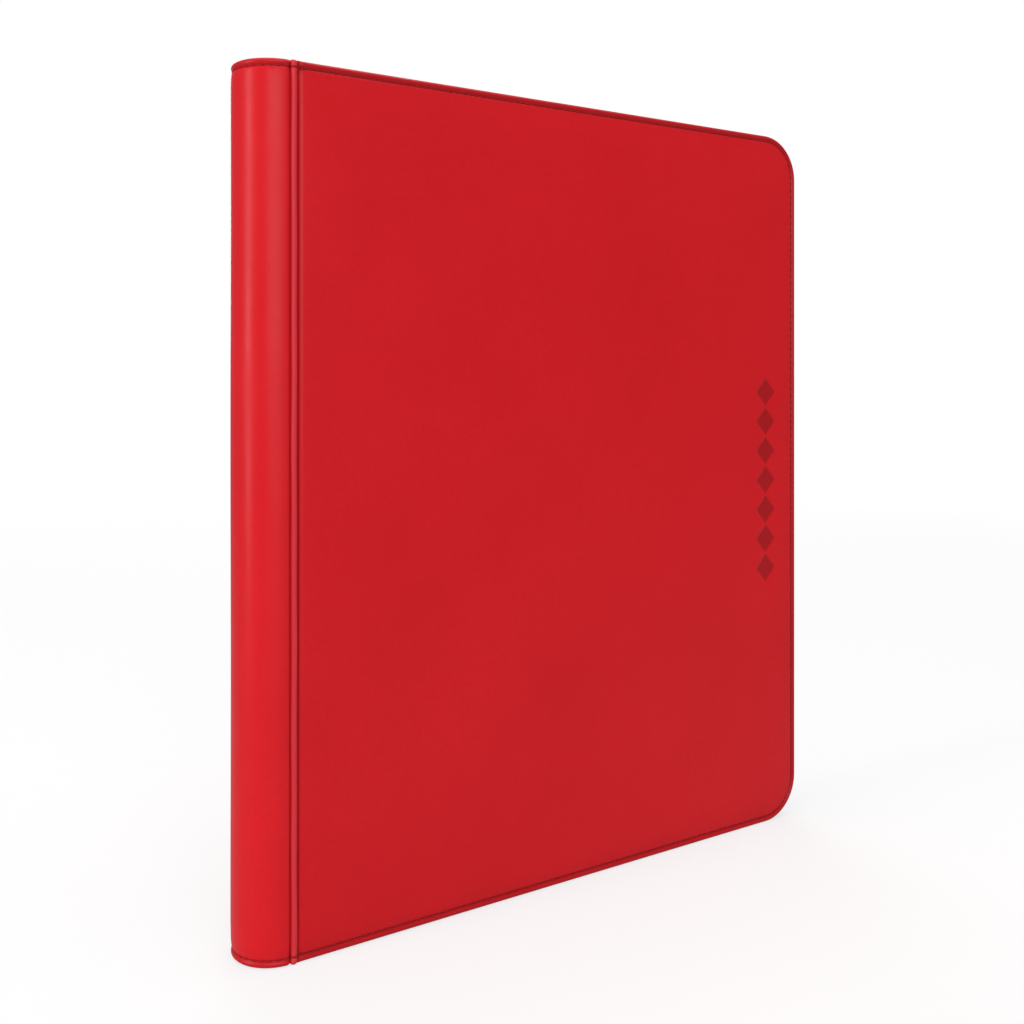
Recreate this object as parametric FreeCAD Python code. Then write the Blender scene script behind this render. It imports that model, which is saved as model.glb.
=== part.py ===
"""Zip-round trading card binder, standing on its bottom edge, closed.

Frame: origin at the centre of the bottom edge. +X runs from the spine to the fore edge,
the front cover faces -Y, the back cover faces +Y, and +Z is up. Millimetres.
"""
import FreeCAD
import Part
import os

Vector = FreeCAD.Vector

# Driving dimensions of the closed binder
width = 295.0
depth = 33.0
height = 348.0
corner_radius = 21.0

# Cover build-up, from the outer face inwards
skin_thickness = 0.9
foam_thickness = 2.0
board_thickness = 2.0
lining_thickness = 0.5
cover_thickness = skin_thickness + foam_thickness + board_thickness + lining_thickness
edge_rounding = 1.5

# Stitched groove that runs inside every outer edge
groove_inset = 2.5
groove_width = 0.8
groove_depth = 0.35

# Spine
spine_radius = depth / 2
spine_centre_x = -width / 2 + spine_radius
hinge_x = spine_centre_x + 3.5
layer_gap = 0.1
stiffener_thickness = 1.4
stiffener_inset = 1.5
stiffener_end_x = spine_centre_x - 1.3
lining_inset = 1.0

# Hinge strip and its raised welt
strip_depth = 0.75
strip_thickness = 1.05
welt_width = 2.7
welt_height = 0.7
hinge_clearance = 0.15

# Pages and the block that holds their margins
page_count = 20
page_pitch = 1.08
page_thickness = 0.4
page_hinge_x = -121.0
page_hinge_gap = 0.3
page_end_x = 133.0
page_bottom_z = 22.0
page_top_z = 326.0
page_corner_radius = 5.0
block_start_x = -133.0
block_end_x = -121.5
block_half_depth = 10.7

# Zipper
zipper_inset = 7.0
tape_thickness = 0.6
binding_width = 6.4
binding_thickness = 0.6
tape_start_x = -122.0
chain_start_x = -119.5
front_top_start_x = -100.5
chain_half_gap = 0.6
chain_depth = 2.5
chain_thickness = 2.2

# Zipper end stops, crimped on the back tape
stop_length = 2.1
stop_start_x = -121.8
stop_inner_y = 2.6
stop_outer_y = 4.6
stop_thickness = 2.6

# Slider, bail and pull tab, parked at the spine end of the top run
slider_x = -112.0
slider_length = 10.0
slider_half_depth = 4.8
slider_narrow_half_depth = 4.2
slider_plate = 1.0
channel_half_depth = 3.5
channel_half_height = 1.5
tape_slot_half_height = 0.7
post_half_width = 0.4
bail_half_length = 3.2
bail_half_width = 0.8
bail_height = 2.5
bail_eye_half_length = 2.2
bail_eye_height = 1.6
pull_bar_radius = 0.45
pull_bar_lift = 0.75
pull_arm_inner_y = 2.3
pull_half_width = 3.3
pull_plate_start = 4.0
pull_length = 32.0
pull_thickness = 0.9

# Gussets that close the spine's two ends
gusset_thickness = 1.0
gusset_radius = 12.6
gusset_end_x = -123.0
gusset_inset = 6.5

half_depth = depth / 2
front_y = -half_depth
cover_inner_y = half_depth - cover_thickness
fore_x = width / 2
cover_start_x = hinge_x + hinge_clearance
run_z = height - zipper_inset


def box(x0, x1, y0, y1, z0, z1):
    """Box between two corners."""
    return Part.makeBox(x1 - x0, y1 - y0, z1 - z0, Vector(x0, y0, z0))


def panel_face(x0, inset, y):
    """Flat outline in the XZ plane: square at x0, rounded at the fore edge."""
    x1 = fore_x - inset
    z0 = inset
    z1 = height - inset
    r = corner_radius - inset
    diagonal = r * (1 - 0.5 ** 0.5)
    corner_a = Vector(x1 - r, y, z0)
    corner_b = Vector(x1, y, z0 + r)
    corner_c = Vector(x1, y, z1 - r)
    corner_d = Vector(x1 - r, y, z1)
    low_middle = Vector(x1 - diagonal, y, z0 + diagonal)
    high_middle = Vector(x1 - diagonal, y, z1 - diagonal)
    edges = [
        Part.makeLine(Vector(x0, y, z0), corner_a),
        Part.Arc(corner_a, low_middle, corner_b).toShape(),
        Part.makeLine(corner_b, corner_c),
        Part.Arc(corner_c, high_middle, corner_d).toShape(),
        Part.makeLine(corner_d, Vector(x0, y, z1)),
        Part.makeLine(Vector(x0, y, z1), Vector(x0, y, z0)),
    ]
    return Part.Face(Part.Wire(edges))


def panel(x0, inset, y0, y1):
    """Solid panel between two depths."""
    return panel_face(x0, inset, y0).extrude(Vector(0, y1 - y0, 0))


def u_strip(x0, inset, strip_width, y0, y1):
    """U-shaped strip along the top, fore and bottom edges, open towards the spine."""
    outer = panel(x0, inset, y0, y1)
    inner = panel(x0 - 1, inset + strip_width, y0 - 1, y1 + 1)
    return outer.cut(inner)


def to_side(shape, side):
    """Front parts are modelled as they are; back parts are their mirror image."""
    if side == "front":
        return shape
    return shape.mirror(Vector(0, 0, 0), Vector(0, 1, 0))


def trim_front_top(shape, side):
    """The front half of the zipper starts clear of the parked slider."""
    if side == "back":
        return shape
    return shape.cut(box(-width, front_top_start_x, -depth, depth, height / 2, height))


def half_round(outer_radius, inner_radius, z0, z1, end_x=spine_centre_x):
    """Half ring about the spine's centre line, open towards +X, where it ends at end_x."""
    foot = Vector(spine_centre_x, 0, z0)
    length = z1 - z0
    outer = Part.makeCylinder(outer_radius, length, foot)
    inner = Part.makeCylinder(inner_radius, length + 2, foot - Vector(0, 0, 1))
    keep = box(-width, end_x, -depth, depth, z0 - 1, z1 + 1)
    return outer.cut(inner).common(keep)


def cover_skin():
    """Leatherette shell: outer face, edge walls, and the stitched groove."""
    shell = panel(cover_start_x, 0, front_y, -cover_inner_y)
    rim = [edge for edge in shell.Edges if is_outer_rim(edge)]
    shell = shell.makeFillet(edge_rounding, rim)
    pocket = panel(cover_start_x + skin_thickness, skin_thickness,
                   front_y + skin_thickness, -cover_inner_y + 1)
    groove = u_strip(cover_start_x - 1, groove_inset, groove_width,
                     front_y - 1, front_y + groove_depth)
    return shell.cut(pocket).cut(groove)


def is_outer_rim(edge):
    """Edge of the outer face, other than the one beside the hinge."""
    on_face = all(abs(vertex.Y - front_y) < 0.01 for vertex in edge.Vertexes)
    beside_hinge = all(abs(vertex.X - cover_start_x) < 0.01 for vertex in edge.Vertexes)
    return on_face and not beside_hinge


def cover_layer(depth_in, thickness):
    """One sheet inside the skin's pocket, at its depth below the outer face."""
    y0 = front_y + depth_in
    return panel(cover_start_x + skin_thickness, skin_thickness, y0, y0 + thickness)


def in_runs(strip):
    """A U-shaped strip as five solids: three straight runs and the two corners between them."""
    corner_x = fore_x - corner_radius
    low_z = corner_radius
    high_z = height - corner_radius
    spans = [
        (-width, corner_x, height / 2, height),
        (corner_x, fore_x, high_z, height),
        (corner_x, fore_x, low_z, high_z),
        (corner_x, fore_x, 0, low_z),
        (-width, corner_x, 0, height / 2),
    ]
    runs = [strip.common(box(x0, x1, -depth, depth, z0, z1)) for x0, x1, z0, z1 in spans]
    return Part.makeCompound([run.Solids[0] for run in runs])


def zipper_binding():
    """Flat fabric strip, sewn over the edge where the tape meets the lining."""
    return u_strip(tape_start_x, zipper_inset + tape_thickness / 2, binding_width,
                   -cover_inner_y, -cover_inner_y + binding_thickness)


def zipper_tape():
    """Woven tape that stands up from the cover's lining to the chain."""
    wall = u_strip(tape_start_x, zipper_inset - tape_thickness / 2, tape_thickness,
                   -cover_inner_y, -(chain_half_gap + chain_depth))
    return in_runs(wall)


def zipper_chain():
    """Half of the coil chain, along the free edge of the tape."""
    strip = u_strip(chain_start_x, zipper_inset - chain_thickness / 2, chain_thickness,
                    -(chain_half_gap + chain_depth), -chain_half_gap)
    return in_runs(strip)


def end_stop(z):
    """Crimped stop that grips the tape's free edge from both faces."""
    block = box(stop_start_x, stop_start_x + stop_length, -stop_outer_y, -stop_inner_y,
                z - stop_thickness / 2, z + stop_thickness / 2)
    slot = box(stop_start_x - 1, stop_start_x + stop_length + 1,
               -stop_outer_y - 1, -(chain_half_gap + chain_depth),
               z - tape_thickness / 2, z + tape_thickness / 2)
    return block.cut(slot)


def spine_skin():
    """Half-round leatherette spine with a flat hinge strip on each side."""
    skin = half_round(spine_radius, spine_radius - skin_thickness, 0, height)
    outer_y = half_depth - strip_depth
    inner_y = outer_y - strip_thickness
    strip_end_x = hinge_x - hinge_clearance
    for sign in (-1, 1):
        low, high = sorted((sign * inner_y, sign * outer_y))
        skin = skin.fuse(box(spine_centre_x - 1, strip_end_x, low, high, 0, height))
    skin = skin.removeSplitter()
    for z0 in (groove_inset, height - groove_inset - groove_width):
        groove = half_round(spine_radius + 1, spine_radius - groove_depth, z0, z0 + groove_width)
        skin = skin.cut(groove)
    return skin


def hinge_welt():
    """Raised bead on the front hinge strip, a low arch in section."""
    middle_x = (spine_centre_x + hinge_x) / 2
    base_y = -(half_depth - strip_depth)
    left = Vector(middle_x - welt_width / 2, base_y, 0)
    right = Vector(middle_x + welt_width / 2, base_y, 0)
    crown = Vector(middle_x, base_y - welt_height, 0)
    section = Part.Wire([Part.Arc(left, crown, right).toShape(), Part.makeLine(right, left)])
    return Part.Face(section).extrude(Vector(0, 0, height))


def spine_stiffener():
    """Curved stiff sheet inside the spine skin."""
    outer_radius = spine_radius - skin_thickness - layer_gap
    return half_round(outer_radius, outer_radius - stiffener_thickness,
                      stiffener_inset, height - stiffener_inset, stiffener_end_x)


def spine_lining():
    """Fabric lining inside the stiffener."""
    outer_radius = spine_radius - skin_thickness - stiffener_thickness - 2 * layer_gap
    return half_round(outer_radius, outer_radius - lining_thickness,
                      lining_inset, height - lining_inset)


def spine_gusset(z0):
    """Fabric panel that closes one end of the spine's hollow."""
    z1 = z0 + gusset_thickness
    foot = Vector(spine_centre_x, 0, z0)
    bowl = Part.makeCylinder(gusset_radius, gusset_thickness, foot)
    bowl = bowl.common(box(-width, spine_centre_x, -depth, depth, z0, z1))
    tongue = box(spine_centre_x - 1, gusset_end_x, -block_half_depth, block_half_depth, z0, z1)
    return bowl.fuse(tongue).removeSplitter()


def page_binding_block():
    """Stack of page margins, welded into one block inside the spine."""
    return box(block_start_x, block_end_x, -block_half_depth, block_half_depth,
               page_bottom_z, page_top_z)


def page(y):
    """Pocket page: a thin sheet with rounded fore-edge corners."""
    x0 = page_hinge_x + page_hinge_gap
    sheet = box(x0, page_end_x, y - page_thickness / 2, y + page_thickness / 2,
                page_bottom_z, page_top_z)
    corners = [edge for edge in sheet.Edges if is_fore_corner(edge)]
    return sheet.makeFillet(page_corner_radius, corners)


def is_fore_corner(edge):
    """Short edge through the page's thickness, at its fore edge."""
    at_fore_edge = all(abs(vertex.X - page_end_x) < 0.01 for vertex in edge.Vertexes)
    return at_fore_edge and abs(edge.Length - page_thickness) < 0.01


def slider_body():
    """Slider: two tapered plates, side flanges with tape slots, and the wedge post."""
    half_length = slider_length / 2
    half_height = channel_half_height + slider_plate
    wide = slider_half_depth
    narrow = slider_narrow_half_depth
    z0 = run_z - half_height
    outline = [
        Vector(slider_x - half_length, -wide, z0),
        Vector(slider_x, -wide, z0),
        Vector(slider_x + half_length, -narrow, z0),
        Vector(slider_x + half_length, narrow, z0),
        Vector(slider_x, wide, z0),
        Vector(slider_x - half_length, wide, z0),
    ]
    plan = Part.Face(Part.makePolygon(outline + outline[:1]))
    body = plan.extrude(Vector(0, 0, 2 * half_height))
    x0 = slider_x - half_length - 1
    x1 = slider_x + half_length + 1
    channel = box(x0, x1, -channel_half_depth, channel_half_depth,
                  run_z - channel_half_height, run_z + channel_half_height)
    slots = box(x0, x1, -depth, depth,
                run_z - tape_slot_half_height, run_z + tape_slot_half_height)
    post = box(slider_x - half_length + 1, slider_x + 1, -post_half_width, post_half_width,
               run_z - channel_half_height, run_z + channel_half_height)
    return body.cut(channel).cut(slots).fuse(post).removeSplitter()


def slider_bail():
    """Arch on the slider's top plate that holds the pull."""
    z0 = run_z + channel_half_height + slider_plate
    arch = box(slider_x - bail_half_length, slider_x + bail_half_length,
               -bail_half_width, bail_half_width, z0, z0 + bail_height)
    shoulders = [edge for edge in arch.Edges if is_bail_shoulder(edge, z0 + bail_height)]
    arch = arch.makeFillet(0.9, shoulders)
    eye = box(slider_x - bail_eye_half_length, slider_x + bail_eye_half_length,
              -depth, depth, z0 - 1, z0 + bail_eye_height)
    return arch.cut(eye)


def is_bail_shoulder(edge, top_z):
    """Edge across the arch's width, at one end of its top."""
    at_top = all(abs(vertex.Z - top_z) < 0.01 for vertex in edge.Vertexes)
    return at_top and abs(edge.Length - 2 * bail_half_width) < 0.01


def pull_tab():
    """Pull: round bar through the bail, two arms, and a flat tab."""
    pivot_z = run_z + channel_half_height + slider_plate + pull_bar_lift
    z0 = pivot_z - pull_thickness / 2
    z1 = pivot_z + pull_thickness / 2
    bar = Part.makeCylinder(pull_bar_radius, 2 * pull_arm_inner_y + 0.2,
                            Vector(slider_x, -pull_arm_inner_y - 0.1, pivot_z), Vector(0, 1, 0))
    tab = box(slider_x - pull_bar_radius, slider_x + pull_length,
              -pull_half_width, pull_half_width, z0, z1)
    ends = [edge for edge in tab.Edges if abs(edge.Length - pull_thickness) < 0.01]
    far_ends = [edge for edge in ends if edge.Vertexes[0].X > slider_x + pull_length - 0.1]
    tab = tab.makeFillet(2.4, far_ends)
    window = box(slider_x - 1, slider_x + pull_plate_start, -pull_arm_inner_y,
                 pull_arm_inner_y, z0 - 1, z1 + 1)
    return tab.cut(window).fuse(bar).removeSplitter()


def export(name, shape, solids=1):
    """Write one sub-part, after checking that it is valid and has this many solids."""
    if not shape.isValid() or len(shape.Solids) != solids:
        raise ValueError(name + " is not valid, or has the wrong number of solids")
    shape.exportStep("parts/" + name + ".step")


os.makedirs("parts", exist_ok=True)

# Spine
export("spine_skin", spine_skin())
export("spine_stiffener", spine_stiffener())
export("spine_lining", spine_lining())
export("page_binding_block", page_binding_block())
export("spine_bottom_gusset", spine_gusset(gusset_inset))
export("spine_top_gusset", spine_gusset(height - gusset_inset - gusset_thickness))

# Covers, each with its half of the zipper
foam_depth = skin_thickness
board_depth = foam_depth + foam_thickness
lining_depth = board_depth + board_thickness
for side in ("front", "back"):
    export(side + "_hinge_welt", to_side(hinge_welt(), side))
    export(side + "_cover_skin", to_side(cover_skin(), side))
    export(side + "_cover_foam", to_side(cover_layer(foam_depth, foam_thickness), side))
    export(side + "_cover_board", to_side(cover_layer(board_depth, board_thickness), side))
    export(side + "_cover_lining", to_side(cover_layer(lining_depth, lining_thickness), side))
    export(side + "_zipper_binding", to_side(zipper_binding(), side))
    export(side + "_zipper_tape", to_side(trim_front_top(zipper_tape(), side), side), 5)
    export(side + "_zipper_chain", to_side(trim_front_top(zipper_chain(), side), side), 5)
export("zipper_top_stop", to_side(end_stop(run_z), "back"))
export("zipper_bottom_stop", to_side(end_stop(zipper_inset), "back"))

# Pages, from the front cover to the back cover
first_page_y = -page_pitch * (page_count - 1) / 2
for index in range(page_count):
    export("page_%02d" % (index + 1), page(first_page_y + index * page_pitch))

# Slider and pull
export("slider_body", slider_body())
export("slider_bail", slider_bail())
export("pull_tab", pull_tab())
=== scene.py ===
"""Looks for the zip-round trading card binder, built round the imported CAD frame.

Same axes as the CAD: +X from the spine to the fore edge, front cover towards -Y, +Z up.
Shapes are worked out in millimetres and turned into metres when their mesh is made.
Every part is modelled for the front; the back is its mirror image in Y.
"""
import math

import bmesh
import bpy
import numpy as np
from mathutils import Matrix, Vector


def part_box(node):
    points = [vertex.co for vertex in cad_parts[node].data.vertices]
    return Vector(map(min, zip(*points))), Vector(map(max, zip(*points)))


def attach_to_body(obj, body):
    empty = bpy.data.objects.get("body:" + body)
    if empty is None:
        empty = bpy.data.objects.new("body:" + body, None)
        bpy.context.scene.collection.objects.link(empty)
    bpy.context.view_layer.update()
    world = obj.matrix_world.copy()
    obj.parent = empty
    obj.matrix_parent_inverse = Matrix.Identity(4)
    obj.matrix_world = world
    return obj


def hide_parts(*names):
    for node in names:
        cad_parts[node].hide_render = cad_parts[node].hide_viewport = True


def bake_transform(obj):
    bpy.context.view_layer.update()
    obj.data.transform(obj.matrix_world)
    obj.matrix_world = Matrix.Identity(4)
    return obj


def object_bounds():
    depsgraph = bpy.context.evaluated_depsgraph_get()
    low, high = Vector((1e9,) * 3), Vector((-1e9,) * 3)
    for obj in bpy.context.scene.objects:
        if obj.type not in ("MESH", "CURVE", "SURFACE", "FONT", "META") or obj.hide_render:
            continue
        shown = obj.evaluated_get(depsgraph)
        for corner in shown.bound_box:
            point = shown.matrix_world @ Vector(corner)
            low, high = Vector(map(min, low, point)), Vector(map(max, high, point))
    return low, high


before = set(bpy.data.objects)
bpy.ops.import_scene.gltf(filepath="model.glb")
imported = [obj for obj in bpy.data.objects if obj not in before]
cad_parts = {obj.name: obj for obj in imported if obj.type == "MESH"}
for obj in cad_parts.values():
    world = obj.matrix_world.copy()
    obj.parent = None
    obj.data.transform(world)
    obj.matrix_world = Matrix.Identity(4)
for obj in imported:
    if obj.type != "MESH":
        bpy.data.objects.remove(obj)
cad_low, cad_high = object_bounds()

MM = 0.001

# Places read from the CAD frame, in millimetres
height = cad_high.z / MM
half_depth = cad_high.y / MM
fore_x = cad_high.x / MM
cover_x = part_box("front_cover_skin")[0].x / MM
inner_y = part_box("front_cover_skin")[1].y / MM
spine_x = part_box("spine_top_gusset")[0].x / MM + 12.6
slider_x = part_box("slider_body")[0].x / MM + 5.0
hinge_x = cover_x - 0.15
corner_radius = 21.0
skin_thickness = 0.7

# Zipper: its tape's inset from the outline, the height of its top run, and where its pieces start
zipper_inset = 7.0
run_z = height - zipper_inset
tape_start_x = -122.0
coil_path_x = -119.5
coil_pitch = 1.7

# Leather edge: inset from the cover's outline against height above its outer plane
turn_in = [
    (7.0, -5.2), (4.5, -5.24), (2.2, -5.26), (1.0, -5.2), (0.4, -4.98), (0.1, -4.55),
    (0.0, -3.9), (0.0, -2.9), (0.02, -1.95),
]
rolled_edge = [
    (0.12, -1.15), (0.4, -0.56), (0.8, -0.2), (1.25, -0.04), (1.65, -0.06), (2.0, -0.17),
    (2.3, -0.34), (2.55, -0.52), (2.75, -0.66), (2.9, -0.7), (3.08, -0.66), (3.3, -0.48),
    (3.55, -0.34), (3.9, -0.25), (4.4, -0.17), (5.1, -0.09),
]
padded_insets = [6.2, 7.8, 10.0, 12.4]
spine_turn_in = [(0.9, -2.6), (0.35, -2.5), (0.08, -2.2), (0.0, -1.75), (0.03, -1.4)]
corner_steps = 34

# Stitches: inset of their groove, distance from one to the next, and depth of their middle
stitch_inset = 2.9
stitch_pitch = 3.4
stitch_depth = 0.52

# Debossed motif near the fore edge: a column of lozenges, in a finely meshed zone
motif_x = 125.4
motif_z = 173.5
motif_half_width = 6.4
motif_pitch = 14.8
motif_count = 7
motif_depth = 0.42
motif_zone_x = 116.5
motif_zone_z = (119.0, 228.0)

# Fold at each hinge, seen from above: its leather side first, then the cloth side
fold_leather = [
    (-129.4, -15.3), (-128.8, -15.45), (-128.3, -15.5), (-127.9, -15.52), (-127.5, -15.53),
    (-127.1, -15.52), (-126.7, -15.5), (-126.2, -15.45), (-125.5, -15.2), (-125.1, -14.0),
]
fold_cloth = [
    (-124.9, -12.6), (-124.6, -11.6), (-123.4, -11.25), (-122.3, -11.2), (-122.1, -11.08),
    (-122.3, -10.96), (-123.6, -10.98), (-124.8, -11.02), (-125.8, -11.1), (-126.5, -11.3),
    (-127.1, -11.62), (-127.7, -12.0), (-128.3, -12.4), (-129.0, -12.8), (-130.0, -13.15),
    (-131.2, -13.32), (-132.2, -13.3), (-132.5, -13.4), (-132.2, -13.55), (-131.2, -13.65),
    (-130.4, -14.0), (-129.8, -14.7),
]
fold_ends = [(0.05, 0.93), (0.18, 0.97), (0.5, 0.99), (0.95, 1.0), (1.2, 1.0)]

# Pages: their size, and the pockets' place on them along X and Z
page_x = (-121.4, 133.0)
page_z = (22.0, 326.0)
page_pitch = 1.08
page_ys = [(number - 10.5) * page_pitch for number in range(1, 21)]
pocket_start = (-113.5, 26.0)
pocket_size = (78.0, 94.5)
pocket_gap = (4.0, 6.0)

# How noise is stretched into thicker yarns, across and along a cloth, per millimetre
slub_scales = [(0.9, 0.035, 1.0), (0.035, 0.9, 1.0)]

spread = np.random.default_rng(11)


# ---- curves

def smooth(t):
    """Smooth step from 0 to 1."""
    t = np.clip(t, 0.0, 1.0)
    return t * t * (3 - 2 * t)


def ridge(value, centre, width):
    """Bell curve of height 1."""
    return np.exp(-((value - centre) / width) ** 2)


def spaced(start, stop, pitch):
    """Even steps from start to stop, about pitch apart."""
    count = max(1, round(abs(stop - start) / pitch))
    return np.linspace(start, stop, count + 1)


def run_along(line):
    """Distance along a line from its first point to each of its points."""
    return np.concatenate([[0.0], np.cumsum(np.linalg.norm(np.diff(line, axis=0), axis=1))])


def at_height(outline, z):
    """Points in 3-D from an outline in XY."""
    outline = np.asarray(outline, float)
    return np.column_stack([outline, np.zeros(len(outline)) + z])


# ---- meshes

def make_piece(name, points, faces, looks, slots=None, closed=True, attributes=None, thickness=None):
    """Object from points in millimetres. A closed mesh gets its normals turned outwards.

    An open sheet gets its thickness inwards.
    """
    mesh = bpy.data.meshes.new(name)
    mesh.from_pydata((np.asarray(points, float) * MM).tolist(), [], faces)
    for look in looks:
        mesh.materials.append(materials[look])
    if slots is not None:
        mesh.polygons.foreach_set("material_index", slots)
    mesh.polygons.foreach_set("use_smooth", [True] * len(mesh.polygons))
    for label, values in (attributes or {}).items():
        kind, field = ("FLOAT", "value") if np.ndim(values) == 1 else ("FLOAT_VECTOR", "vector")
        layer = mesh.attributes.new(label, kind, "POINT")
        layer.data.foreach_set(field, np.asarray(values, np.float32).ravel())
    if closed:
        turned = bmesh.new()
        turned.from_mesh(mesh)
        bmesh.ops.recalc_face_normals(turned, faces=turned.faces)
        turned.to_mesh(mesh)
        turned.free()
    mesh.update()
    piece = bpy.data.objects.new(name, mesh)
    bpy.context.scene.collection.objects.link(piece)
    if thickness is not None:
        modifier = piece.modifiers.new("thickness", "SOLIDIFY")
        modifier.thickness = thickness * MM
        modifier.offset = -1.0
    return piece


def attach(piece, body, node=None):
    """Rides a piece on its body and in place of its CAD node."""
    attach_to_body(piece, body)
    if node is not None:
        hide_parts(node)


def for_side(side, points, faces):
    """The front as it is, or its mirror image for the back."""
    points = np.asarray(points, float)
    if side == "front":
        return points, faces
    return points * (1, -1, 1), [face[::-1] for face in faces]


def sided(side, name, mesh, look, slot, node=None, body="cover", **options):
    """A piece with a twin: as modelled for the front, mirrored for the back."""
    piece = make_piece(f"{side}_{name}", *for_side(side, *mesh), [look], **options)
    attach(piece, body if body == "spine" else f"{side}_{body}", node and f"{side}_{node}")
    return piece


def metal_piece(name, parts, body, node):
    """A metal piece of the zipper, made of several solids."""
    attach(make_piece(name, *merged(parts), ["metal"]), body, node)


def loft(sections, caps=True):
    """Points and faces of a closed skin through equal sections, which are closed loops."""
    rows = len(sections)
    columns = len(sections[0])
    faces = []
    for row in range(rows - 1):
        for column in range(columns):
            following = (column + 1) % columns
            low = row * columns
            high = low + columns
            faces.append((low + column, low + following, high + following, high + column))
    if caps:
        faces.append(tuple(range(columns))[::-1])
        faces.append(tuple(range((rows - 1) * columns, rows * columns)))
    return np.concatenate(sections), faces


def grid_faces(rows, columns):
    """Four-cornered faces of a grid of points, counted row by row."""
    corners = [row * columns + column for row in range(rows - 1) for column in range(columns - 1)]
    return [(a, a + 1, a + columns + 1, a + columns) for a in corners]


def merged(parts):
    """One list of points and faces from several."""
    points = []
    faces = []
    total = 0
    for part_points, part_faces in parts:
        points.append(np.asarray(part_points, float))
        faces.extend(tuple(index + total for index in face) for face in part_faces)
        total += len(part_points)
    return np.concatenate(points), faces


def join_rings(first, second):
    """Faces between two rings, each {sample: vertex}; the coarser one's samples are in both.

    Between two samples of the coarser ring the finer one's points fan out from both.
    """
    finer, coarser = (second, first) if len(second) >= len(first) else (first, second)
    stops = sorted(coarser)
    order = sorted(finer)
    place = {sample: index for index, sample in enumerate(order)}
    faces = []
    for start, stop in zip(stops, stops[1:]):
        side = [finer[sample] for sample in order[place[start]:place[stop] + 1]]
        middle = len(side) // 2
        for index, pair in enumerate(zip(side, side[1:]), start=1):
            face = [*pair]
            if index >= middle:
                face.append(coarser[stop])
            if index <= middle:
                face.append(coarser[start])
            if finer is first:
                face = face[::-1]
            clean = [vertex for spot, vertex in enumerate(face) if vertex != face[spot - 1]]
            if len(clean) > 2:
                faces.append(tuple(clean))
    return faces


def rounded_slab(outline, z0, z1, bevel):
    """Slab over a convex outline in XY, with rounded rims. Sections are for loft()."""
    outline = np.asarray(outline, float)
    middle = outline.mean(axis=0)
    reach = np.linalg.norm(outline - middle, axis=1, keepdims=True)
    angles = np.linspace(0, math.pi / 2, 4)
    steps = [(bevel * (1 - math.sin(a)), z0 + bevel * (1 - math.cos(a))) for a in angles]
    steps += [(inset, z0 + z1 - z) for inset, z in steps[::-1]]
    return [at_height(middle + (outline - middle) * (1 - inset / reach), z) for inset, z in steps]


def rounded_rectangle(x0, x1, y0, y1, radius, per_corner=5):
    """Outline in XY with rounded corners."""
    corners = [(x1 - radius, y1 - radius, 0), (x0 + radius, y1 - radius, 90),
               (x0 + radius, y0 + radius, 180), (x1 - radius, y0 + radius, 270)]
    points = []
    for x, y, turn in corners:
        for angle in np.radians(np.linspace(turn, turn + 90, per_corner)):
            points.append((x + radius * math.cos(angle), y + radius * math.sin(angle)))
    return points


def tube(path, radius, sides=8, closed=False):
    """Sections of a round tube along a path in 3-D."""
    path = np.asarray(path, float)
    if closed:
        ahead = np.roll(path, -1, axis=0) - np.roll(path, 1, axis=0)
    else:
        ahead = np.gradient(path, axis=0)
    ahead /= np.linalg.norm(ahead, axis=1, keepdims=True)
    side = np.cross(ahead[0], (0.31, 0.52, 0.8))
    sections = []
    for point, forward in zip(path, ahead):
        side = side - forward * side.dot(forward)
        side = side / np.linalg.norm(side)
        up = np.cross(forward, side)
        turn = np.linspace(0, 2 * math.pi, sides, endpoint=False)[:, None]
        sections.append(point + radius * (np.cos(turn) * side + np.sin(turn) * up))
    return sections


# ---- the cover's outline

def edge_path(top_x, arc_steps, fore_z):
    """Samples along the top, fore and bottom edges: feet one corner radius in, outward directions."""
    centre_x = fore_x - corner_radius
    high_z = height - corner_radius
    turns = np.linspace(0, math.pi / 2, arc_steps + 1)[1:-1]
    feet = [(x, high_z) for x in top_x]
    outs = [(0.0, 1.0)] * len(top_x)
    feet += [(centre_x, high_z)] * len(turns)
    outs += [(math.sin(a), math.cos(a)) for a in turns]
    feet += [(centre_x, z) for z in fore_z]
    outs += [(1.0, 0.0)] * len(fore_z)
    feet += [(centre_x, corner_radius)] * len(turns)
    outs += [(math.cos(a), -math.sin(a)) for a in turns]
    feet += [(x, corner_radius) for x in top_x[::-1]]
    outs += [(0.0, -1.0)] * len(top_x)
    return np.array(feet), np.array(outs)


def at_inset(feet, outs, inset):
    """Points in XZ at an inset from the outline."""
    return feet + (corner_radius - inset) * outs


def on_plane(line, y):
    """Points in 3-D from a line in XZ."""
    return np.column_stack([line[:, 0], np.full(len(line), y), line[:, 1]])


def even_path(start_x, pitch):
    """Path samples about pitch apart, for the pieces that follow the zipper."""
    centre_x = fore_x - corner_radius
    arc = (corner_radius - zipper_inset) * math.pi / 2
    top_x = spaced(start_x, centre_x, pitch)
    fore_z = spaced(height - corner_radius, corner_radius, pitch)
    return edge_path(top_x, max(6, round(arc / pitch)), fore_z)


def along_path(feet, outs, section):
    """Sections, each a loop of (inset, y), at every sample of a path."""
    sections = []
    for (foot_x, foot_z), (out_x, out_z) in zip(feet, outs):
        ring = [(foot_x + (corner_radius - inset) * out_x, y,
                 foot_z + (corner_radius - inset) * out_z) for inset, y in section]
        sections.append(np.array(ring))
    return sections


def path_threads(feet, outs, section):
    """Thread directions for a weave, in mm: along the path, then round the section."""
    line = at_inset(feet, outs, zipper_inset)
    along, around = np.meshgrid(run_along(line), run_along(section), indexing="ij")
    return np.column_stack([along.ravel(), around.ravel(), 0 * along.ravel()])


# ---- materials

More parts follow.
